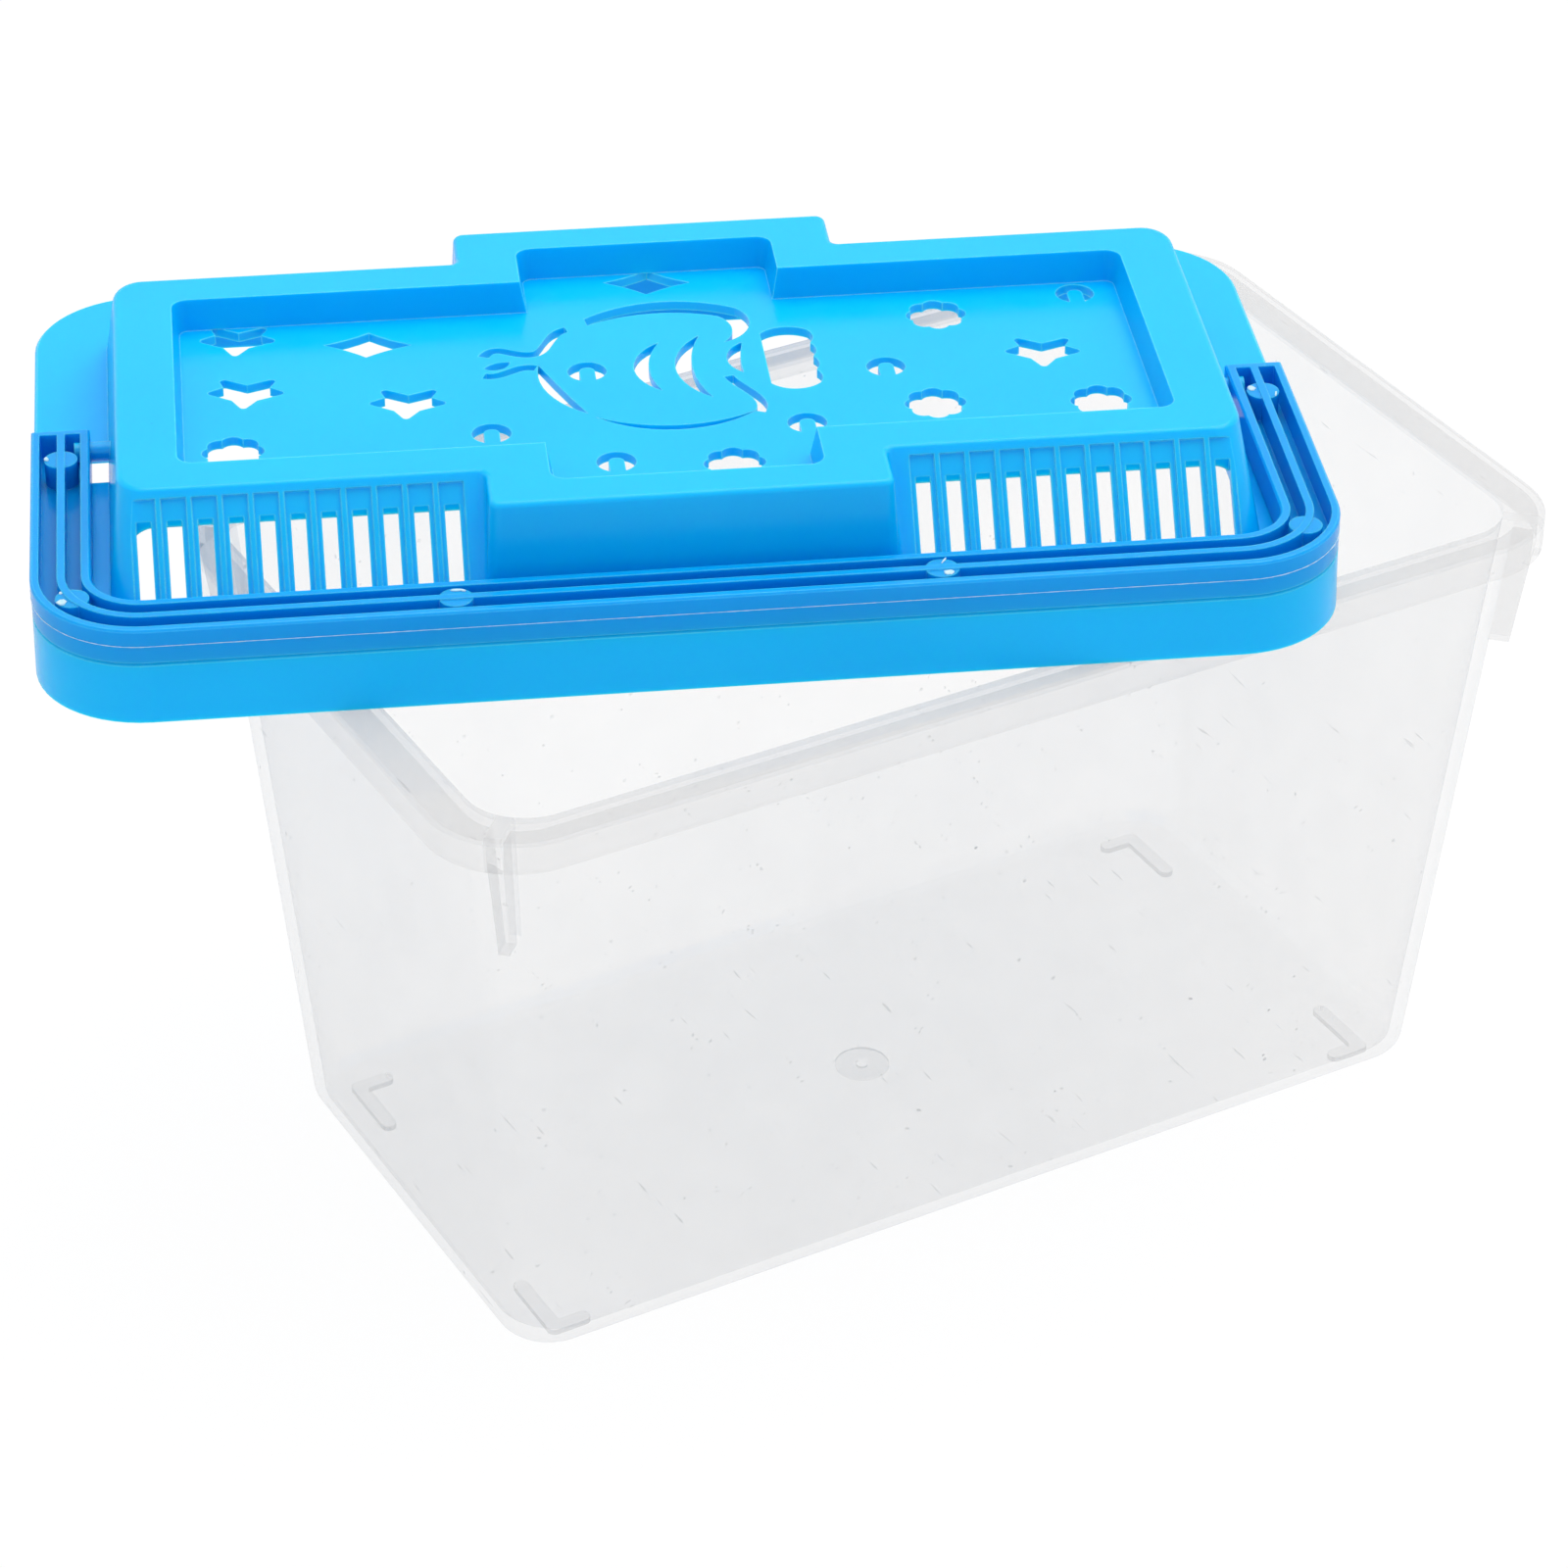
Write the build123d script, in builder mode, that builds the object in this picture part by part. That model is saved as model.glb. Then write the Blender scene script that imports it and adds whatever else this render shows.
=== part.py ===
from build123d import *
from math import cos, hypot, radians, sin, tan
import os

# A small clear fish tank, its blue lid laid askew on the rim, and the lid's carrying handle.
# The origin is on the surface that the tank stands on, under the middle of the tank.
# X runs along the tank, Y from its front to its back and Z up.

# Tank
tank_height = 131.0
opening_length = 220.0
opening_width = 124.0
tank_lean_x = 8.5
tank_lean_y = 12.3
tank_wall = 1.5
tank_floor = 2.0
tank_corner = 11.0
tank_inner_corner = 12.0
base_edge_round = 4.0
floor_edge_chamfer = 1.6

# Rim of the tank, turned down outside the wall
rim_reach_x = 6.7
rim_reach_y = 4.8
rim_corner = 18.0
rim_wall = 1.3
rim_depth = 7.0
rim_edge_chamfer = 0.6

# Gusset under each corner of the rim, thinner toward its foot
gusset_depth = 26.0
gusset_root_thickness = 3.2
gusset_foot_thickness = 2.1
gusset_foot_step = 0.8

# Pads under the floor, and the gate mark in its middle
pad_height = 1.2
pad_width = 3.0
pad_inset_x = 10.0
pad_inset_y = 7.4
pad_leg_x = 9.0
pad_leg_y = 17.0
gate_diameter = 11.0
gate_depth = 0.5
gate_nub_diameter = 2.4

# Where the lid lies on the rim
lid_shift_x = -29.3
lid_shift_y = 26.5
lid_turn = -22.5

# Lid: skirt and flange
lid_wall = 1.5
lid_fit = 0.6
lid_corner = 21.0
flange_height = 12.2
skirt_draft = 1.5
flange_edge_chamfer = 0.5

# Lid: raised platform, a long block with sloping fronts and a wider middle block
platform_height = 31.0
platform_gap_x = 3.1
platform_gap_y = 3.6
platform_lean_x = 2.4
platform_lean_y = 15.0
platform_corner = 6.0
middle_length = 76.0
middle_lean_x = 1.2
middle_lean_y = 2.1
middle_corner = 2.0
step_round = 1.5
platform_edge_round = 1.1

# Lid: sunk panel in the platform, also wider in the middle
panel_depth = 6.3
panel_border_x = 11.1
panel_border_y = 8.7
panel_middle_border_x = 11.7
panel_middle_border_y = 8.0
panel_corner = 3.0
panel_draft = 10.0
panel_thickness = 1.9

# Lid: vent slots in the sloping fronts, each in a shallow flute
slot_pitch = 5.58
slot_width = 2.7
slot_gap_middle = 5.2
slot_gap_end = 4.0
slot_start = 3.2
slot_foot_margin = 1.2
flute_width = 4.6
flute_depth = 0.6
flute_start = 1.9
flute_foot_margin = 0.6

# Pivot: a pin on each end of the platform and the window under it in the flange
pivot_shift = 0.8
pivot_depth = 3.0
pin_diameter = 3.8
pin_clearance = 0.08
pin_reach = 1.2
window_length = 10.0
window_width = 3.5

# Handle: channel section with a middle rib and six bosses
handle_lift = 0.15
handle_height = 6.75
handle_band = 11.0
handle_outer_wall = 1.6
handle_inner_wall = 1.8
handle_floor = 1.5
handle_end_wall = 1.6
handle_end_clearance = 0.15
handle_edge_chamfer = 0.4
rib_thickness = 1.5
rib_inset = 5.6
boss_diameter = 6.2
boss_drop = 0.3
boss_setback = 7.0
boss_corner_turn = 30.0
boss_spread = 88.0

wall_length = opening_length + 2 * tank_wall
wall_width = opening_width + 2 * tank_wall
base_length = wall_length - 2 * tank_lean_x
base_width = wall_width - 2 * tank_lean_y
rim_length = wall_length + 2 * rim_reach_x
rim_width = wall_width + 2 * rim_reach_y
lid_length = rim_length + 2 * (lid_wall + lid_fit)
lid_width = rim_width + 2 * (lid_wall + lid_fit)

# The handle's outline follows the top edge of the skirt, and the platform stands inside the handle
skirt_inset = flange_height * tan(radians(skirt_draft))
handle_length = lid_length - 2 * skirt_inset
handle_width = lid_width - 2 * skirt_inset
handle_corner = lid_corner - skirt_inset
platform_foot_length = handle_length - 2 * (handle_band + platform_gap_x)
platform_foot_width = handle_width - 2 * (handle_band + platform_gap_y)
platform_top_length = platform_foot_length - 2 * platform_lean_x
platform_top_width = platform_foot_width - 2 * platform_lean_y
middle_top_length = middle_length - 2 * middle_lean_x
middle_top_width = platform_foot_width - 2 * middle_lean_y
panel_length = platform_top_length - 2 * panel_border_x
panel_width = platform_top_width - 2 * panel_border_y
panel_middle_length = middle_top_length - 2 * panel_middle_border_x
panel_middle_width = middle_top_width - 2 * panel_middle_border_y

# The lid's own frame: its middle, at the lower edge of the skirt, and the same turned back to front
seat = Plane(
    origin=(lid_shift_x, lid_shift_y, tank_height),
    x_dir=(cos(radians(lid_turn)), sin(radians(lid_turn)), 0),
    z_dir=(0, 0, 1),
)
turned_seat = seat.rotated((0, 0, 180))


def drafted_block(foot_length, foot_width, top_length, top_width, height, corner):
    """A block with flat sloping sides and rounded corners that stands on the middle of its foot."""
    with BuildPart() as block:
        Wedge(
            foot_length,
            height,
            foot_width,
            (foot_length - top_length) / 2,
            (foot_width - top_width) / 2,
            (foot_length + top_length) / 2,
            (foot_width + top_width) / 2,
            rotation=(90, 0, 0),
            align=(Align.CENTER, Align.MIN, Align.CENTER),
        )
        fillet(block.edges().filter_by(Plane.XY, reverse=True), corner)
    return block.part


# The tank, and the space inside it

def corner_signs():
    return [(x, y) for x in (-1, 1) for y in (-1, 1)]


wall_height = tank_height - pad_height
space_height = wall_height - tank_floor
space_base_length = opening_length - 2 * tank_lean_x * space_height / wall_height
space_base_width = opening_width - 2 * tank_lean_y * space_height / wall_height

with BuildPart() as tank_space:
    with Locations((0, 0, pad_height + tank_floor)):
        add(
            drafted_block(
                space_base_length,
                space_base_width,
                opening_length,
                opening_width,
                space_height,
                tank_inner_corner,
            )
        )
    chamfer(tank_space.edges().group_by(Axis.Z)[0], floor_edge_chamfer)

with BuildPart() as tank:
    with Locations((0, 0, pad_height)):
        add(drafted_block(base_length, base_width, wall_length, wall_width, wall_height, tank_corner))
    fillet(tank.edges().group_by(Axis.Z)[0], base_edge_round)

    # Rim: a flat band round the mouth with a skirt that hangs from it
    with BuildSketch(Plane.XY.offset(tank_height)):
        RectangleRounded(rim_length, rim_width, rim_corner)
    extrude(amount=-rim_wall)
    with BuildSketch(Plane.XY.offset(tank_height - rim_wall)):
        RectangleRounded(rim_length, rim_width, rim_corner)
        RectangleRounded(
            rim_length - 2 * rim_wall, rim_width - 2 * rim_wall, rim_corner - rim_wall, mode=Mode.SUBTRACT
        )
    extrude(amount=rim_wall - rim_depth)
    chamfer(tank.edges().group_by(Axis.Z)[-1], rim_edge_chamfer)

    # Gussets: a fin on each diagonal, from the wall out to the skirt, that leans with the wall
    lean_of_corner = (tank_lean_x + tank_lean_y) * sin(radians(45)) * gusset_depth / wall_height
    for x_sign, y_sign in corner_signs():
        heading = Vector(x_sign, y_sign, 0).normalized()
        corner_x = wall_length / 2 - tank_corner
        corner_y = wall_width / 2 - tank_corner
        skirt_x = rim_length / 2 - rim_corner - corner_x
        skirt_y = rim_width / 2 - rim_corner - corner_y
        gusset_start = tank_corner - tank_wall / 2
        gusset_end = (skirt_x + skirt_y) * sin(radians(45)) + rim_corner - rim_wall / 2
        gusset_reach = gusset_end - gusset_start
        corner = Vector(x_sign * corner_x, y_sign * corner_y, tank_height - rim_wall)
        gusset_top = Plane(
            origin=corner + heading * gusset_start,
            x_dir=heading,
            z_dir=heading.cross(Vector(0, 0, -1)),
        )
        with Locations(gusset_top):
            Wedge(
                gusset_reach,
                gusset_depth,
                gusset_root_thickness,
                -lean_of_corner,
                (gusset_root_thickness - gusset_foot_thickness) / 2,
                gusset_reach - lean_of_corner - gusset_foot_step,
                (gusset_root_thickness + gusset_foot_thickness) / 2,
                align=(Align.NONE, Align.MIN, Align.CENTER),
            )

    add(tank_space.part, mode=Mode.SUBTRACT)

    # Pads: an L of two round-ended bars at each corner of the floor
    with BuildSketch(Plane.XY):
        for x_sign, y_sign in corner_signs():
            pad_x = x_sign * (base_length / 2 - pad_inset_x)
            pad_y = y_sign * (base_width / 2 - pad_inset_y)
            with Locations((pad_x - x_sign * (pad_leg_x - pad_width) / 2, pad_y)):
                SlotOverall(pad_leg_x, pad_width)
            with Locations((pad_x, pad_y - y_sign * (pad_leg_y - pad_width) / 2)):
                SlotOverall(pad_leg_y, pad_width, rotation=90)
    extrude(amount=pad_height + tank_floor / 2)

    # Gate mark: a round dimple under the floor with the stub of the gate in it
    with BuildSketch(Plane.XY.offset(pad_height)):
        Circle(gate_diameter / 2)
        Circle(gate_nub_diameter / 2, mode=Mode.SUBTRACT)
    extrude(amount=gate_depth, mode=Mode.SUBTRACT)

tank.part.label = "tank"


# The lid, and the space under it

slope_run = (platform_foot_width - platform_top_width) / 2
slope_rise = platform_height - flange_height
slope_length = hypot(slope_run, slope_rise)
slope_wall = lid_wall * slope_length / slope_rise
ceiling = platform_height - lid_wall
flange_underside = flange_height - lid_wall


def size_at(foot_size, top_size, height):
    """Size of the drafted platform at a height above the lower edge of the skirt."""
    return foot_size + (top_size - foot_size) * (height - flange_height) / slope_rise


def platform_block(length, top_length, top_width, corner, low, high, end_wall=0.0, front_wall=0.0):
    """A block of the platform between two heights, or the space that leaves its walls."""
    block = drafted_block(
        size_at(length, top_length, low) - 2 * end_wall,
        size_at(platform_foot_width, top_width, low) - 2 * front_wall,
        size_at(length, top_length, high) - 2 * end_wall,
        size_at(platform_foot_width, top_width, high) - 2 * front_wall,
        high - low,
        corner,
    )
    with Locations(seat.offset(low)):
        add(block)


def long_block(*heights_and_walls):
    """The long block of the platform, or its space."""
    platform_block(
        platform_foot_length, platform_top_length, platform_top_width, platform_corner, *heights_and_walls
    )


def middle_block(*heights_and_walls):
    """The middle block of the platform, or its space."""
    platform_block(middle_length, middle_top_length, middle_top_width, middle_corner, *heights_and_walls)


def panel_outline():
    RectangleRounded(panel_length, panel_width, panel_corner)
    RectangleRounded(panel_middle_length, panel_middle_width, panel_corner)


def tub_outline():
    """The outside of the sunk panel's wall, below the platform."""
    Rectangle(panel_length + 2 * lid_wall, panel_width + 2 * lid_wall)
    Rectangle(panel_middle_length + 2 * lid_wall, panel_middle_width + 2 * lid_wall)


# Inside the skirt and under the platform, round the tub of the sunk panel
with BuildPart() as lid_space:
    with BuildSketch(seat):
        RectangleRounded(lid_length - 2 * lid_wall, lid_width - 2 * lid_wall, lid_corner - lid_wall)
    extrude(amount=flange_underside, taper=skirt_draft)
    long_block(flange_underside, ceiling, lid_wall, slope_wall)
    middle_block(flange_underside, ceiling, lid_wall, lid_wall)
    with BuildSketch(seat.offset(platform_height)):
        tub_outline()
    extrude(amount=-panel_depth - panel_thickness, taper=panel_draft, mode=Mode.SUBTRACT)


# Outlines pierced in the sunk panel, each about its own middle

def starfish():
    """Five round-tipped arms: two up, two level and one down."""
    right_side = [(0, -6.9), (2.4, -3.1), (7.9, -0.2), (4.4, 2.1), (6.0, 5.9), (0, 3.0)]
    left_side = [(-x, y) for x, y in reversed(right_side[1:-1])]
    with BuildSketch() as outline:
        with BuildLine():
            Polyline(*right_side, *left_side, close=True)
        make_face()
        tips = [vertex for vertex in outline.vertices() if hypot(vertex.X, vertex.Y) > 6]
        fillet(tips, 0.8)
    return outline.sketch


def sparkle():
    """Four points joined by hollow sides."""
    with BuildSketch() as outline:
        with BuildLine():
            ThreePointArc((8.4, 0), (3.6, 2.4), (0, 4.9))
            ThreePointArc((0, 4.9), (-3.6, 2.4), (-8.4, 0))
            ThreePointArc((-8.4, 0), (-3.6, -2.4), (0, -4.9))
            ThreePointArc((0, -4.9), (3.6, -2.4), (8.4, 0))
        make_face()
    return outline.sketch


def shell():
    """A round hole with a scalloped edge."""
    with BuildSketch() as outline:
        Circle(4.6)
        with PolarLocations(3.6, 8):
            Circle(2.2)
    return outline.sketch


def bubble():
    """A ring left open toward the front, round a tongue with a round end."""
    with BuildSketch() as outline:
        Circle(3.7)
        Circle(1.5, mode=Mode.SUBTRACT)
        with Locations((0, -2.5)):
            Rectangle(3.0, 5.0, mode=Mode.SUBTRACT)
    return outline.sketch


def crescent(start, outside, end, inside):
    """A stroke that is widest in the middle, between two arcs with the same ends."""
    with BuildSketch() as outline:
        with BuildLine():
            ThreePointArc(start, outside, end)
            ThreePointArc(end, inside, start)
        make_face()
    return outline.sketch


def ribbon(width, points):
    """A stroke of one width along a smooth curve."""
    with BuildSketch() as outline:
        with BuildLine() as path:
            Spline(*points)
        trace(path.line, line_width=width)
    return outline.sketch


def back_stroke():
    """The fish's back, widest at the rear, with a hook that turns down behind the fin."""
    with BuildSketch() as outline:
        with BuildLine():
            ThreePointArc((-13.2, 26.8), (2.0, 32.2), (16.4, 28.0))
            ThreePointArc((16.4, 28.0), (18.5, 22.0), (12.8, 14.3))
            ThreePointArc((12.8, 14.3), (14.9, 20.2), (12.6, 25.0))
            ThreePointArc((12.6, 25.0), (1.5, 27.5), (-12.8, 24.0))
            Line((-12.8, 24.0), (-13.2, 26.8))
        make_face()
    return outline.sketch


def tail_fin():
    """A fan with a plain root, a rounded top and foot and four scallops along its end."""
    root_x = 20.0
    tip_x = 29.2
    top_y = 17.6
    foot_y = -3.8
    scallops = 4
    step = (foot_y - top_y) / scallops
    with BuildSketch() as outline:
        with BuildLine():
            Line((root_x, foot_y + 0.8), (root_x, top_y - 0.6))
            ThreePointArc((root_x, top_y - 0.6), (25.0, top_y + 1.6), (tip_x, top_y))
            for i in range(scallops):
                y = top_y + i * step
                ThreePointArc((tip_x, y), (tip_x + 0.8, y + step / 2), (tip_x, y + step))
            ThreePointArc((tip_x, foot_y), (25.0, foot_y - 1.8), (root_x, foot_y + 0.8))
        make_face()
    return outline.sketch


def fish():
    with BuildSketch() as outline:
        # Back and forehead, down to the upper lip
        add(back_stroke())
        forehead = [(-33.6, 13.6), (-30.8, 15.9), (-27.2, 14.2), (-23.8, 13.8), (-21.0, 17.8), (-17.0, 22.8)]
        add(ribbon(2.2, forehead))
        # Mouth, lower lip, throat and belly
        add(crescent((-33.9, 9.0), (-31.2, 8.2), (-28.8, 11.2), (-31.4, 11.0)))
        add(ribbon(2.2, [(-34.0, 6.2), (-31.0, 6.2), (-28.0, 7.9), (-24.0, 8.2)]))
        add(crescent((-23.4, 9.2), (-22.8, -0.9), (-15.6, -10.6), (-20.2, 0.6)))
        add(crescent((-14.2, -12.2), (1.0, -18.7), (16.2, -12.8), (1.0, -16.9)))
        add(ribbon(1.9, [(12.2, 0.9), (14.8, -4.2), (17.2, -9.4), (16.7, -13.6)]))
        # Eye, gill, the two bars of the body and the tail
        with Locations((-14.4, 5.7)):
            add(bubble())
        add(crescent((0.2, 15.6), (-5.4, 5.2), (-0.8, -3.4), (-2.6, 5.6)))
        add(crescent((8.2, 17.6), (2.5, 4.8), (8.4, -7.0), (5.7, 4.2)))
        add(crescent((16.2, 14.0), (12.6, 7.4), (15.2, 2.0), (15.2, 7.8)))
        add(tail_fin())
    return outline.sketch


starfish_places = [(-80.2, 25.8), (-79.2, 4.9), (-49.0, -2.6), (73.1, 3.8)]
sparkle_places = [(-55.4, 21.0), (0.2, 40.4)]
shell_places = [(-82.2, -17.6), (9.8, -32.3), (54.8, 20.7), (49.8, -14.1), (81.0, -16.6)]
bubble_places = [(-34.1, -16.1), (-11.9, -29.4), (24.9, -18.8), (42.4, 1.1), (83.0, 26.2)]
pattern_turn = -6.0


def places_in_panel(places, box):
    """The places at which an outline with this box round it stays inside the sunk panel."""

    def inside(place, length, width):
        reach_x = max(abs(place[0] + box.min.X), abs(place[0] + box.max.X))
        reach_y = max(abs(place[1] + box.min.Y), abs(place[1] + box.max.Y))
        return reach_x <= length / 2 and reach_y <= width / 2

    return [
        place
        for place in places
        if inside(place, panel_length, panel_width) or inside(place, panel_middle_length, panel_middle_width)
    ]


first_slot = middle_length / 2 + slot_gap_middle
slot_count = 1 + int((platform_top_length / 2 - slot_gap_end - first_slot) / slot_pitch)
bank_middle = first_slot + slot_pitch * (slot_count - 1) / 2
slot_end = slope_run - slot_foot_margin
flute_end = slope_length - flute_foot_margin
pivot_rise = handle_lift + handle_height - pivot_depth
pivot_height = flange_height + pivot_rise
handle_inside = handle_length / 2 - handle_band
pin_end = handle_inside + handle_inner_wall + pin_reach
pin_root = size_at(platform_foot_length, platform_top_length, pivot_height) / 2 - lid_wall / 2


def slope_plane(face):
    """The sloping front of the platform below a frame, with its local Y up the slope."""
    return Plane(
        origin=face.from_local_coords((0, -platform_top_width / 2, platform_height)),
        x_dir=face.x_dir,
        z_dir=face.z_dir * slope_run - face.y_dir * slope_rise,
    )


def pivot_plane(side, distance):
    """A plane across the pivot axis, looking out of the lid's right (1) or left (-1) end."""
    return Plane(
        origin=seat.from_local_coords((side * distance, pivot_shift, pivot_height)),
        x_dir=seat.y_dir,
        z_dir=seat.x_dir * side,
    )


def step_edges(part):
    """The four hollow edges between the sloping fronts and the middle block."""
    step_x = (middle_length + middle_top_length) / 4
    step_y = (platform_foot_width + platform_top_width) / 4

    def on_a_step(edge):
        middle = seat.to_local_coords(edge.center())
        return hypot(abs(middle.X) - step_x, abs(middle.Y) - step_y) < step_round

    return part.edges().filter_by(on_a_step)


with BuildPart() as lid:
    with BuildSketch(seat):
        RectangleRounded(lid_length, lid_width, lid_corner)
    extrude(amount=flange_height, taper=skirt_draft)
    chamfer(lid.edges().group_by(Axis.Z)[-1], flange_edge_chamfer)
    long_block(flange_height, platform_height)
    middle_block(flange_height, platform_height)
    fillet(step_edges(lid), step_round)
    fillet(lid.faces().sort_by(Axis.Z)[-1].edges(), platform_edge_round)
    add(lid_space.part, mode=Mode.SUBTRACT)

    # Sunk panel and the outlines pierced in its floor
    with BuildSketch(seat.offset(platform_height)):
        panel_outline()
    extrude(amount=-panel_depth, taper=panel_draft, mode=Mode.SUBTRACT)
    with BuildSketch(seat.offset(platform_height - panel_depth)):
        add(fish())
        for outline, places, turn in (
            (shell(), shell_places, 0),
            (bubble(), bubble_places, 0),
            (starfish(), starfish_places, pattern_turn),
            (sparkle(), sparkle_places, pattern_turn),
        ):
            with Locations(*places_in_panel(places, outline.bounding_box())):
                add(outline, rotation=turn)
    extrude(amount=-panel_thickness, mode=Mode.SUBTRACT)

    # Vents: flutes down the sloping fronts, each with a slot cut straight down through it
    flute_middle = -(flute_start + flute_end) / 2
    slot_middle = -platform_top_width / 2 - (slot_start + slot_end) / 2
    for face in (seat, turned_seat):
        with BuildSketch(slope_plane(face)):
            with Locations((-bank_middle, flute_middle), (bank_middle, flute_middle)):
                with GridLocations(slot_pitch, 0, slot_count, 1):
                    Rectangle(flute_width, flute_end - flute_start)
        extrude(amount=-flute_depth, mode=Mode.SUBTRACT)
        with BuildSketch(face.offset(platform_height)):
            with Locations((-bank_middle, slot_middle), (bank_middle, slot_middle)):
                with GridLocations(slot_pitch, 0, slot_count, 1):
                    Rectangle(slot_width, slot_end - slot_start)
        extrude(amount=flange_underside - platform_height, mode=Mode.SUBTRACT)

    # Pivot pins, and the windows under them
    with BuildSketch(seat.offset(flange_height)):
        for side in (-1, 1):
            with Locations((side * (platform_foot_length + window_width) / 2, pivot_shift)):
                Rectangle(window_width, window_length)
    extrude(amount=-lid_wall, mode=Mode.SUBTRACT)
    for side in (-1, 1):
        with BuildSketch(pivot_plane(side, pin_root)):
            Circle(pin_diameter / 2)
        extrude(amount=pin_end - pin_root)

lid.part.label = "lid"


# The handle, lying on the flange

rest = seat.offset(flange_height + handle_lift)
pivot_to_underside = pivot_rise - handle_lift
arm_end = pivot_shift + pivot_rise - handle_end_clearance


def bail_band(outer_inset, inner_inset, end):
    """A U-shaped band between two insets from the handle's outline, ending at a local Y."""
    RectangleRounded(
        handle_length - 2 * outer_inset, handle_width - 2 * outer_inset, handle_corner - outer_inset
    )
    RectangleRounded(
        handle_length - 2 * inner_inset,
        handle_width - 2 * inner_inset,
        handle_corner - inner_inset,
        mode=Mode.SUBTRACT,
    )
    with Locations((0, end + handle_width / 2)):
        Rectangle(handle_length, handle_width, mode=Mode.SUBTRACT)


def boss_places():
    """Two bosses on the arms, two in the corners and two on the front run, all on the rib."""
    rib_radius = handle_corner - rib_inset
    corner_x = handle_length / 2 - handle_corner + rib_radius * cos(radians(boss_corner_turn))
    corner_y = handle_width / 2 - handle_corner + rib_radius * sin(radians(boss_corner_turn))
    for side in (-1, 1):
        yield side * (handle_length / 2 - rib_inset), pivot_shift - boss_setback
        yield side * corner_x, -corner_y
        yield side * boss_spread / 2, rib_inset - handle_width / 2


with BuildPart() as handle:
    with BuildSketch(rest):
        bail_band(0, handle_band, arm_end)
    extrude(amount=handle_height)
    arm_end_faces = handle.faces().group_by(Axis(seat.origin, seat.y_dir))[-1]
    fillet(arm_end_faces.edges().group_by(Axis.Z)[0], pivot_to_underside - pin_clearance)
    chamfer(handle.faces().sort_by(Axis.Z)[-1].edges(), handle_edge_chamfer)

    # Two channels, one each side of the rib
    with BuildSketch(rest.offset(handle_height)):
        channel_end = arm_end - handle_end_wall
        bail_band(handle_outer_wall, rib_inset - rib_thickness / 2, channel_end)
        bail_band(rib_inset + rib_thickness / 2, handle_band - handle_inner_wall, channel_end)
    extrude(amount=handle_floor - handle_height, mode=Mode.SUBTRACT)
    with BuildSketch(rest):
        with Locations(*boss_places()):
            Circle(boss_diameter / 2)
    extrude(amount=handle_height - boss_drop)

    # Holes that turn on the lid's pins
    for side in (-1, 1):
        with BuildSketch(pivot_plane(side, handle_inside)):
            Circle(pin_diameter / 2 + pin_clearance)
        extrude(amount=handle_inner_wall + pin_reach + pin_clearance, mode=Mode.SUBTRACT)

handle.part.label = "handle"


os.makedirs("parts", exist_ok=True)
export_step(tank.part, "parts/tank.step")
export_step(lid.part, "parts/lid.step")
export_step(handle.part, "parts/handle.step")
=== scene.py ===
import random
from math import cos, pi, radians, sin

import bmesh
import bpy
from mathutils import Matrix, Vector


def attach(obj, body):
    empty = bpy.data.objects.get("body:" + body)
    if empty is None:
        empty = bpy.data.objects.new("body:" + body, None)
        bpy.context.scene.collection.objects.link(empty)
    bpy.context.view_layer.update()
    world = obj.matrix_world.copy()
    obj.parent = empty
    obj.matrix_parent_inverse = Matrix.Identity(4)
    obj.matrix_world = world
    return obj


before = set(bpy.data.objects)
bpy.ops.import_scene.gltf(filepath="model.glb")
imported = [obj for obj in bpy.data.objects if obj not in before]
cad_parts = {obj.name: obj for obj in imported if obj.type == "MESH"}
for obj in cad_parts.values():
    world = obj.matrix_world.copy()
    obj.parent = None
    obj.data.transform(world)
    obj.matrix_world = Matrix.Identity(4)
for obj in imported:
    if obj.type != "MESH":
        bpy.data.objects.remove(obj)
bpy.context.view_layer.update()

bpy.context.scene.view_settings.view_transform = "Standard"

# Camera, fitted to the photograph: lengths in metres, angles in degrees
IMAGE_SIZE = 1600
FOCAL_PIXELS = 5233.6
CAMERA_AZIMUTH = 29.18
CAMERA_ELEVATION = 33.33
CAMERA_DISTANCE = 0.9951
AIM = Vector((-0.02127, -0.00538, 0.080))
SENSOR_MM = 36.0

# Light and floor: the share of its shadows that the floor shows, and how far it lies under the pads
WHITE = (1.0, 1.0, 1.0, 1.0)
WORLD_STRENGTH = 0.88
OVERHEAD_PLACE = (0.45, 0.35, 1.7)
OVERHEAD_AIM = (0, 0, 0.1)
OVERHEAD_SIZE = 1.8
OVERHEAD_POWER = 23.0
FLOOR_SIZE = 12.0
FLOOR_SHADOW = 0.04
FLOOR_DROP = 0.00005

# Colours of the blue plastic: its body, the pale colour of the painted highlight along its edges, and the
# light that comes through it
LID_COLOURS = ((0.0, 0.50, 0.96), (0.16, 0.84, 1.0), (0.0, 0.6, 1.0))
# The handle's body blue is a darker copy of the lid's blue, a painted shade
HANDLE_COLOURS = ((0.0, 0.34, 0.79), (0.08, 0.62, 1.0), (0.0, 0.5, 0.95))
EDGE_RADIUS = 0.0004

# Colours of the clear plastic: its window, its milk where thin and thick, and its dust
WINDOW_TINT = (0.988, 0.987, 0.986, 1.0)
THIN_MILK = (0.86, 0.85, 0.85, 1.0)
THICK_MILK = (0.76, 0.75, 0.75, 1.0)
DUST_GREY = (0.16, 0.16, 0.16, 1.0)

# Where the lid lies, and the handle on it
LID_PLACE = Vector((-0.0293, 0.0265, 0.131))
LID_TURN = radians(-22.5)
HANDLE_UNDERSIDE = 0.01235
HANDLE_HEIGHT = 0.00675
HANDLE_LENGTH = 0.23996
HANDLE_WIDTH = 0.14016
HANDLE_CORNER = 0.02068
ARM_END = 0.00455
BOSS_TOP = HANDLE_UNDERSIDE + HANDLE_HEIGHT - 0.0003

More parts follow.
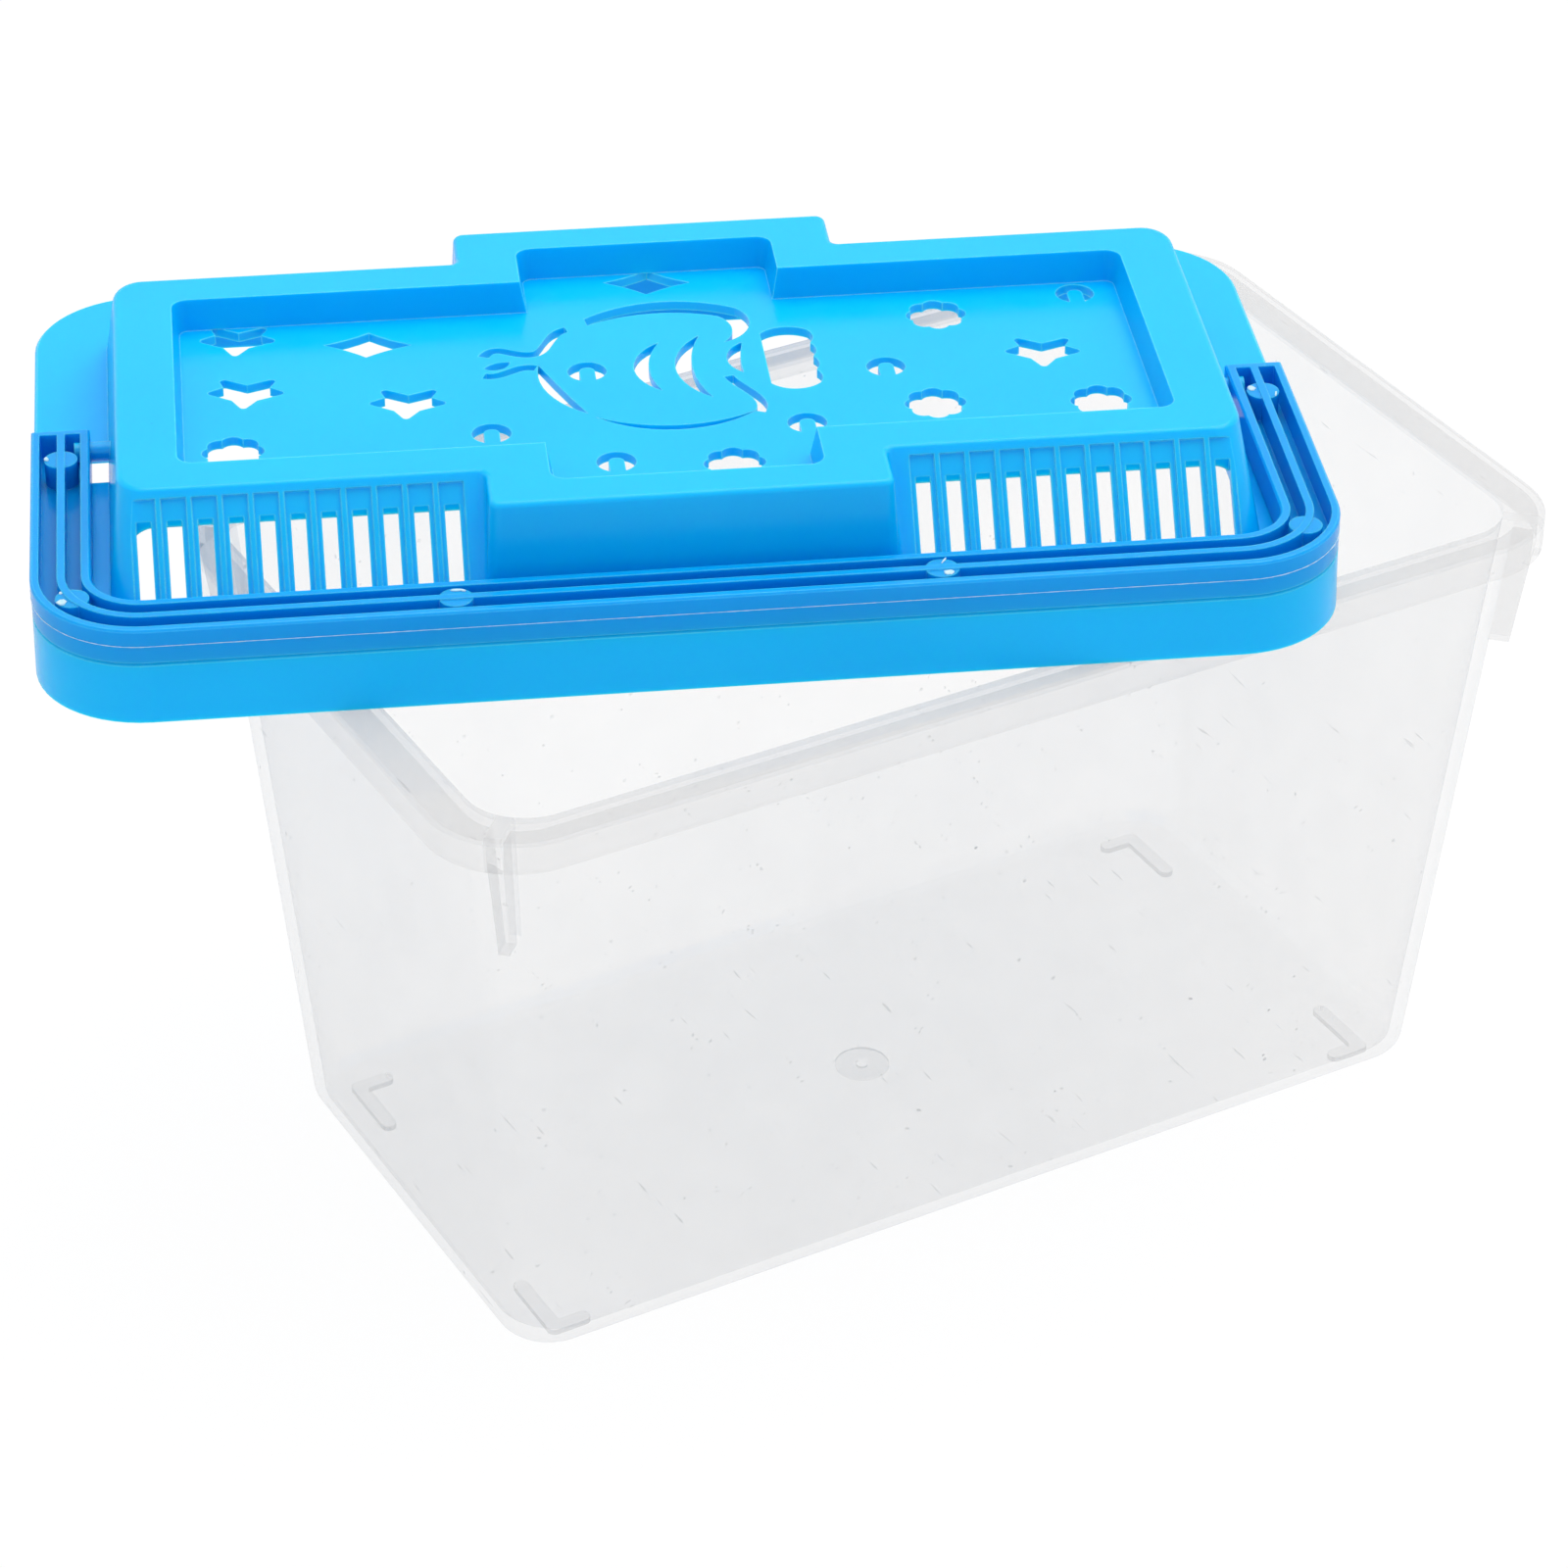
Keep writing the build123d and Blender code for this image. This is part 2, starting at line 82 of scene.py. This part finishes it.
# Moulding flash: the ridge where the mould's halves met, and crumbs on the bosses
RIDGE_STEP = 0.0012
RIDGE_HALF_WIDTH = 0.00011
CRUMB_THICKNESS = 0.00014

# Heights on the tank that its material tells apart, and the radius of the gate mark
PAD_TOP = 0.00115
GATE_TOP = 0.0030
GATE_RADIUS = 0.0055
BASE_ROUND_TOP = 0.0060
RIM_UNDERSIDE = 0.1296

# The gussets, on the diagonals of the corners: GUSSET_OFFSET is x minus y along a fin's middle
GUSSET_FOOT = 0.1037
GUSSET_MIDDLE_X = 0.1005
GUSSET_OFFSET = 0.0480
GUSSET_SPREAD_FOOT = 0.0015
GUSSET_SPREAD_ROOT = 0.0023


def make_camera():
    data = bpy.data.cameras.new("camera")
    camera = bpy.data.objects.new("camera", data)
    bpy.context.scene.collection.objects.link(camera)
    azimuth = radians(CAMERA_AZIMUTH)
    elevation = radians(CAMERA_ELEVATION)
    forward = Vector(
        (sin(azimuth) * cos(elevation), cos(azimuth) * cos(elevation), -sin(elevation))
    )
    camera.location = AIM - forward * CAMERA_DISTANCE
    camera.rotation_mode = "QUATERNION"
    camera.rotation_quaternion = forward.to_track_quat("-Z", "Y")
    data.sensor_width = SENSOR_MM
    data.lens = FOCAL_PIXELS * SENSOR_MM / IMAGE_SIZE
    data.clip_start = 0.01
    data.clip_end = 100.0
    bpy.context.scene.camera = camera


class Nodes:
    """Adds nodes to one tree. A socket given as an input is linked, and anything else is its value."""

    def __init__(self, tree):
        self.tree = tree
        tree.nodes.clear()

    def put(self, socket, value):
        if isinstance(value, bpy.types.NodeSocket):
            self.tree.links.new(value, socket)
        else:
            socket.default_value = value

    def add(self, kind, inputs=(), **settings):
        made = self.tree.nodes.new(kind)
        for name, value in settings.items():
            setattr(made, name, value)
        for name, value in dict(inputs).items():
            self.put(made.inputs[name], value)
        return made

    def math(self, operation, first, second=0.0, third=0.0):
        inputs = {0: first, 1: second, 2: third}
        return self.add("ShaderNodeMath", inputs, operation=operation).outputs[0]

    def between(self, value, low, high, to_low=0.0, to_high=1.0):
        """The value stretched from one range to another, and kept in it."""
        inputs = {"Value": value, "From Min": low, "From Max": high, "To Min": to_low, "To Max": to_high}
        return self.add("ShaderNodeMapRange", inputs).outputs["Result"]

    def mix_colour(self, factor, first, second):
        made = self.add("ShaderNodeMix", {"Factor": factor}, data_type="RGBA")
        self.put(made.inputs[6], first)
        self.put(made.inputs[7], second)
        return made.outputs[2]

    def mix_shader(self, factor, first, second):
        return self.add("ShaderNodeMixShader", {0: factor, 1: first, 2: second}).outputs[0]

    def noise(self, place, scale, detail):
        inputs = {"Vector": place, "Scale": scale, "Detail": detail}
        return self.add("ShaderNodeTexNoise", inputs).outputs["Fac"]

    def specks(self, place, scale, radius, share):
        """Small round marks: their radius in metres, and the share of the cells that has one."""
        cells = self.add("ShaderNodeTexVoronoi", {"Vector": place, "Scale": scale, "Randomness": 1.0})
        chance = self.add("ShaderNodeSeparateColor", {0: cells.outputs["Color"]})
        kept = self.math("LESS_THAN", chance.outputs[0], share)
        size = self.math("MULTIPLY_ADD", chance.outputs[1], radius * scale, 0.3 * radius * scale)
        edge = self.math("DIVIDE", cells.outputs["Distance"], size)
        return self.math("MULTIPLY", kept, self.between(edge, 0.6, 1.0, 1.0, 0.0))


def new_material(name):
    material = bpy.data.materials.new(name)
    material.use_nodes = True
    nodes = Nodes(material.node_tree)
    return material, nodes, nodes.add("ShaderNodeOutputMaterial")


def seen_directly(nodes):
    """1 for rays from the camera and for those that reach it by gloss or through clear plastic."""
    path = nodes.add("ShaderNodeLightPath")
    seen = nodes.math("MAXIMUM", path.outputs["Is Camera Ray"], path.outputs["Is Glossy Ray"])
    return nodes.math("MAXIMUM", seen, path.outputs["Is Transmission Ray"])


def make_world():
    world = bpy.data.worlds.new("studio")
    world.use_nodes = True
    bpy.context.scene.world = world
    nodes = Nodes(world.node_tree)
    output = nodes.add("ShaderNodeOutputWorld")
    light = nodes.add("ShaderNodeBackground", {"Color": WHITE, "Strength": WORLD_STRENGTH})
    backdrop = nodes.add("ShaderNodeBackground", {"Color": WHITE, "Strength": 1.0})
    mixed = nodes.mix_shader(seen_directly(nodes), light.outputs[0], backdrop.outputs[0])
    nodes.tree.links.new(mixed, output.inputs["Surface"])


def make_floor():
    mesh = bpy.data.meshes.new("floor")
    half = FLOOR_SIZE / 2
    corners = [(-half, -half), (half, -half), (half, half), (-half, half)]
    mesh.from_pydata([(x, y, -FLOOR_DROP) for x, y in corners], [], [(0, 1, 2, 3)])
    floor = bpy.data.objects.new("floor", mesh)
    bpy.context.scene.collection.objects.link(floor)
    material, nodes, output = new_material("floor_white")
    paint = nodes.add("ShaderNodeBsdfDiffuse", {"Color": WHITE})
    white = nodes.add("ShaderNodeEmission", {"Color": WHITE, "Strength": 1.0})
    share = nodes.math("MULTIPLY", seen_directly(nodes), 1.0 - FLOOR_SHADOW)
    mixed = nodes.mix_shader(share, paint.outputs[0], white.outputs[0])
    nodes.tree.links.new(mixed, output.inputs["Surface"])
    mesh.materials.append(material)


def make_light(name, place, aim, size, power):
    data = bpy.data.lights.new(name, "AREA")
    data.shape = "DISK"
    data.size = size
    data.energy = power
    light = bpy.data.objects.new(name, data)
    bpy.context.scene.collection.objects.link(light)
    light.location = Vector(place)
    light.rotation_mode = "QUATERNION"
    light.rotation_quaternion = (Vector(aim) - Vector(place)).to_track_quat("-Z", "Y")


def blue_plastic(name, colour, pale, glow):
    """Glossy moulded plastic that lets a little light through, with a painted highlight along its edges.
    """
    material, nodes, output = new_material(name)
    place = nodes.add("ShaderNodeTexCoord").outputs["Object"]
    soft = nodes.add("ShaderNodeBevel", {"Radius": EDGE_RADIUS}, samples=4)
    facet = nodes.add("ShaderNodeNewGeometry").outputs["Normal"]
    turned = nodes.add("ShaderNodeVectorMath", {0: soft.outputs[0], 1: facet}, operation="DOT_PRODUCT")
    # Painted highlight: the edges found by the bevel get the pale colour, stronger in patches
    edge = nodes.between(turned.outputs["Value"], 0.985, 0.86)
    edge_highlight = nodes.math("MULTIPLY", edge, nodes.between(nodes.noise(place, 320.0, 3.0), 0.3, 0.65, 0.6, 1.0))
    cloud = nodes.between(nodes.noise(place, 26.0, 1.0), 0.3, 0.7)
    deep = tuple(0.96 * c for c in colour)
    body = nodes.mix_colour(cloud, (*deep, 1.0), (*colour, 1.0))
    body = nodes.mix_colour(edge_highlight, body, (*pale, 1.0))
    marks = nodes.math("MULTIPLY", nodes.specks(place, 120.0, 0.0003, 0.08), 0.25)
    body = nodes.mix_colour(marks, body, (*(0.45 * c for c in colour), 1.0))
    skin = nodes.noise(place, 700.0, 2.0)
    ripple = nodes.noise(place, 90.0, 1.0)
    relief = nodes.math("MULTIPLY_ADD", ripple, 1.2, skin)
    bump_inputs = {"Strength": 0.04, "Distance": 0.00004, "Height": relief, "Normal": soft.outputs[0]}
    bump = nodes.add("ShaderNodeBump", bump_inputs)
    plastic = nodes.add(
        "ShaderNodeBsdfPrincipled",
        {
            "Base Color": body,
            "Roughness": nodes.between(nodes.noise(place, 160.0, 1.0), 0.3, 0.7, 0.20, 0.27),
            "IOR": 1.5,
            "Specular IOR Level": 0.22,
            "Subsurface Weight": 0.7,
            "Subsurface Radius": (0.15, 0.8, 1.0),
            "Subsurface Scale": 0.0025,
            "Normal": bump.outputs[0],
        },
    )
    through = nodes.add("ShaderNodeBsdfTranslucent", {"Color": (*glow, 1.0)})
    mixed = nodes.mix_shader(0.12, plastic.outputs[0], through.outputs[0])
    nodes.tree.links.new(mixed, output.inputs["Surface"])
    return material


def torn_plastic_and_highlight():
    """The pale, matt look of the same plastic where it is torn thin; on the parting ridge this paleness is
    also a painted highlight.
    """
    material, nodes, output = new_material("flash_blue_and_highlight")
    place = nodes.add("ShaderNodeTexCoord").outputs["Object"]
    streaks = nodes.between(nodes.noise(place, 900.0, 3.0), 0.3, 0.7)
    colour = nodes.mix_colour(streaks, (0.40, 0.80, 1.0, 1.0), (0.85, 0.97, 1.0, 1.0))
    torn = nodes.add(
        "ShaderNodeBsdfPrincipled",
        {"Base Color": colour, "Roughness": nodes.between(streaks, 0.0, 1.0, 0.35, 0.6), "IOR": 1.5},
    )
    through = nodes.add("ShaderNodeBsdfTranslucent", {"Color": colour})
    mixed = nodes.mix_shader(0.3, torn.outputs[0], through.outputs[0])
    nodes.tree.links.new(mixed, output.inputs["Surface"])
    return material


def clear_plastic():
    """Clear plastic with a little milk in it, denser in the rim, the gussets, the pads and the gate."""
    material, nodes, output = new_material("clear_plastic")
    place = nodes.add("ShaderNodeTexCoord").outputs["Object"]
    axes = nodes.add("ShaderNodeSeparateXYZ", {0: place}).outputs
    geometry = nodes.add("ShaderNodeNewGeometry")
    faces = nodes.add("ShaderNodeSeparateXYZ", {0: geometry.outputs["Normal"]}).outputs
    slant = nodes.add("ShaderNodeLayerWeight", {"Blend": 0.5}).outputs["Facing"]

    # Places where the plastic is thicker
    along_x = nodes.math("MULTIPLY", faces[0], nodes.math("SIGN", axes[0]))
    along_diagonal = nodes.math("MULTIPLY_ADD", faces[1], nodes.math("SIGN", axes[1]), along_x)
    upright = nodes.math("LESS_THAN", nodes.math("ABSOLUTE", faces[2]), 0.5)
    fin = nodes.math("LESS_THAN", nodes.math("ABSOLUTE", along_diagonal), 0.45)
    sides = nodes.math("MULTIPLY", fin, upright)
    from_middle = nodes.math("ABSOLUTE", axes[0])
    offset = nodes.math("SUBTRACT", from_middle, nodes.math("ABSOLUTE", axes[1]))
    astray = nodes.math("ABSOLUTE", nodes.math("SUBTRACT", offset, GUSSET_OFFSET))
    spread = nodes.between(axes[2], GUSSET_FOOT, RIM_UNDERSIDE, GUSSET_SPREAD_FOOT, GUSSET_SPREAD_ROOT)
    strip = nodes.math("LESS_THAN", astray, spread)
    strip = nodes.math("MULTIPLY", strip, nodes.math("GREATER_THAN", axes[2], GUSSET_FOOT))
    strip = nodes.math("MULTIPLY", strip, nodes.math("GREATER_THAN", from_middle, GUSSET_MIDDLE_X))
    gusset = nodes.math("MAXIMUM", sides, strip)
    base = nodes.between(axes[2], PAD_TOP, BASE_ROUND_TOP, 1.0, 0.0)
    pad = nodes.math("LESS_THAN", axes[2], PAD_TOP)
    rim = nodes.math("GREATER_THAN", axes[2], RIM_UNDERSIDE)
    squares = nodes.math("MULTIPLY_ADD", axes[1], axes[1], nodes.math("MULTIPLY", axes[0], axes[0]))
    radius = nodes.math("SQRT", squares)
    low = nodes.math("LESS_THAN", axes[2], GATE_TOP)
    disc = nodes.math("LESS_THAN", radius, GATE_RADIUS)
    nub = nodes.between(radius, 0.0008, 0.0020)
    gate = nodes.math("MULTIPLY", low, nodes.math("MULTIPLY", disc, nub))

    # Scuffs and specks of dust
    scuffed = nodes.between(nodes.noise(place, 22.0, 2.0), 0.5, 0.7)
    dust = nodes.specks(place, 160.0, 0.00045, 0.6)
    dust = nodes.math("MULTIPLY", dust, nodes.between(scuffed, 0.0, 1.0, 0.25, 1.0))
    drawn_out = {"Vector": place, "Rotation": (0.3, 0.5, 0.4), "Scale": (1.0, 0.12, 1.0)}
    stretched = nodes.add("ShaderNodeMapping", drawn_out)
    scratch = nodes.between(nodes.noise(stretched.outputs[0], 700.0, 1.0), 0.76, 0.80)
    marks = nodes.math("MAXIMUM", dust, nodes.math("MULTIPLY", scratch, 0.5))
    haze = nodes.between(nodes.noise(place, 60.0, 4.0), 0.3, 0.7, -0.012, 0.012)

    cover = nodes.math("MULTIPLY_ADD", nodes.math("POWER", slant, 2.0), 0.14, 0.05)
    cover = nodes.math("ADD", cover, haze)
    for mask, more in ((gusset, 0.15), (pad, 0.10), (rim, 0.14), (gate, 0.11), (base, 0.04), (marks, 0.4)):
        cover = nodes.math("MULTIPLY_ADD", mask, more, cover)
    dense = nodes.math("MAXIMUM", nodes.math("MAXIMUM", gusset, pad), nodes.math("MAXIMUM", rim, gate))
    milk = nodes.mix_colour(dense, THIN_MILK, THICK_MILK)
    milk = nodes.mix_colour(nodes.math("MULTIPLY", marks, 0.8), milk, DUST_GREY)
    front = nodes.add("ShaderNodeBsdfDiffuse", {"Color": milk})
    behind = nodes.add("ShaderNodeBsdfTranslucent", {"Color": milk})
    body = nodes.mix_shader(0.5, front.outputs[0], behind.outputs[0])
    window = nodes.add("ShaderNodeBsdfTransparent", {"Color": WINDOW_TINT})
    wall = nodes.mix_shader(cover, window.outputs[0], body)
    shine = nodes.add("ShaderNodeBsdfGlossy", {"Color": WHITE, "Roughness": 0.12})
    reflected = nodes.math("MULTIPLY_ADD", nodes.math("POWER", slant, 5.0), 0.2, 0.03)
    outside = nodes.math("SUBTRACT", 1.0, geometry.outputs["Backfacing"])
    mixed = nodes.mix_shader(nodes.math("MULTIPLY", reflected, outside), wall, shine.outputs[0])
    nodes.tree.links.new(mixed, output.inputs["Surface"])
    return material


def lid_object(name, mesh_maker, material):
    """A piece made in the lid's own frame that rides on the handle."""
    mesh = bpy.data.meshes.new(name)
    made = bmesh.new()
    mesh_maker(made)
    bmesh.ops.recalc_face_normals(made, faces=made.faces)
    made.transform(Matrix.Translation(LID_PLACE) @ Matrix.Rotation(LID_TURN, 4, "Z"))
    made.to_mesh(mesh)
    made.free()
    piece = bpy.data.objects.new(name, mesh)
    bpy.context.scene.collection.objects.link(piece)
    mesh.materials.append(material)
    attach(piece, "handle")


def handle_outline():
    """Points round the outside of the handle, each with the direction that faces out."""
    side = HANDLE_LENGTH / 2
    front = HANDLE_WIDTH / 2
    across = side - HANDLE_CORNER
    down = front - HANDLE_CORNER
    arm = int((ARM_END + down) / RIDGE_STEP)
    run = int(2 * across / RIDGE_STEP)
    bend = int(HANDLE_CORNER * pi / 2 / RIDGE_STEP)
    for i in range(arm):
        yield Vector((-side, ARM_END - (ARM_END + down) * i / arm, 0)), Vector((-1, 0, 0))
    for i in range(bend):
        out = Vector((-cos(pi / 2 * i / bend), -sin(pi / 2 * i / bend), 0))
        yield Vector((-across, -down, 0)) + out * HANDLE_CORNER, out
    for i in range(run):
        yield Vector((-across + 2 * across * i / run, -front, 0)), Vector((0, -1, 0))
    for i in range(bend):
        out = Vector((sin(pi / 2 * i / bend), -cos(pi / 2 * i / bend), 0))
        yield Vector((across, -down, 0)) + out * HANDLE_CORNER, out
    for i in range(arm + 1):
        yield Vector((side, -down + (ARM_END + down) * i / arm, 0)), Vector((1, 0, 0))


def parting_ridge(made):
    """A thin uneven ridge halfway up the outside of the handle, with a few longer tongues."""
    chance = random.Random(7)
    middle = HANDLE_UNDERSIDE + HANDLE_HEIGHT / 2
    rows = []
    for place, out in handle_outline():
        proud = 0.00004 + 0.00007 * chance.random()
        if chance.random() < 0.07:
            proud += 0.00012
        wander = 0.00004 * (chance.random() - 0.5)
        ends = [(-0.00005, -RIDGE_HALF_WIDTH), (proud, wander), (-0.00005, RIDGE_HALF_WIDTH)]
        rows.append([made.verts.new(place + out * p + Vector((0, 0, middle + z))) for p, z in ends])
    for first, second in zip(rows, rows[1:]):
        for i in range(3):
            made.faces.new((first[i], second[i], second[(i + 1) % 3], first[(i + 1) % 3]))
    made.faces.new(rows[0])
    made.faces.new(rows[-1])


def crumb(made, chance, x, y, long, wide, turn):
    """A ragged flake of plastic that lies on a boss, its top lifted unevenly."""
    ends = 9
    outline = []
    for i in range(ends):
        reach = 0.55 + 0.45 * chance.random()
        angle = 2 * pi * i / ends
        outline.append(Vector((long * reach * cos(angle), wide * reach * sin(angle), 0)))
    place = Matrix.Translation((x, y, BOSS_TOP)) @ Matrix.Rotation(radians(turn), 4, "Z")
    low = [made.verts.new(place @ point) for point in outline]
    high = []
    for point in outline:
        lift = CRUMB_THICKNESS * (0.7 + 0.6 * chance.random())
        high.append(made.verts.new(place @ (0.88 * point + Vector((0, 0, lift)))))
    for i in range(ends):
        made.faces.new((low[i], low[(i + 1) % ends], high[(i + 1) % ends], high[i]))
    made.faces.new(high)
    made.faces.new(reversed(low))


def boss_crumbs(made):
    """Crumbs left by the mould's ejector pins, where the photograph shows them."""
    chance = random.Random(11)
    arm_x, arm_y = HANDLE_LENGTH / 2 - 0.0056, -0.0062
    bend_x, bend_y = 0.11236, -0.05694
    front_x, front_y = 0.044, 0.0056 - HANDLE_WIDTH / 2
    for x, y, long, wide, turn in (
        (-arm_x - 0.0027, arm_y + 0.0003, 0.0006, 0.0010, 10),
        (-bend_x - 0.0019, bend_y - 0.0012, 0.0013, 0.0016, 20),
        (-bend_x - 0.0018, bend_y + 0.0021, 0.0009, 0.0005, 35),
        (-front_x + 0.0001, front_y + 0.0024, 0.0012, 0.0006, 5),
        (-front_x + 0.0013, front_y + 0.0022, 0.0009, 0.0004, -30),
        (-front_x - 0.0028, front_y + 0.0002, 0.0006, 0.0004, 0),
        (front_x + 0.0006, front_y + 0.0025, 0.0012, 0.00025, 60),
        (front_x + 0.0009, front_y - 0.0016, 0.0014, 0.0010, 15),
        (arm_x - 0.0019, arm_y + 0.0011, 0.0010, 0.0012, 0),
        (arm_x + 0.0022, arm_y - 0.0015, 0.0012, 0.00025, 75),
    ):
        crumb(made, chance, x, y, long, wide, turn)


def give(node, material):
    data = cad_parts[node].data
    data.materials.clear()
    data.materials.append(material)


make_camera()
make_world()
make_floor()
make_light("overhead", OVERHEAD_PLACE, OVERHEAD_AIM, OVERHEAD_SIZE, OVERHEAD_POWER)
give("tank", clear_plastic())
give("lid", blue_plastic("lid_blue", *LID_COLOURS))
give("handle", blue_plastic("handle_blue", *HANDLE_COLOURS))

flash = torn_plastic_and_highlight()
# The parting ridge's pale colour is partly a painted highlight
lid_object("handle_parting_ridge", parting_ridge, flash)
lid_object("handle_boss_crumbs", boss_crumbs, flash)
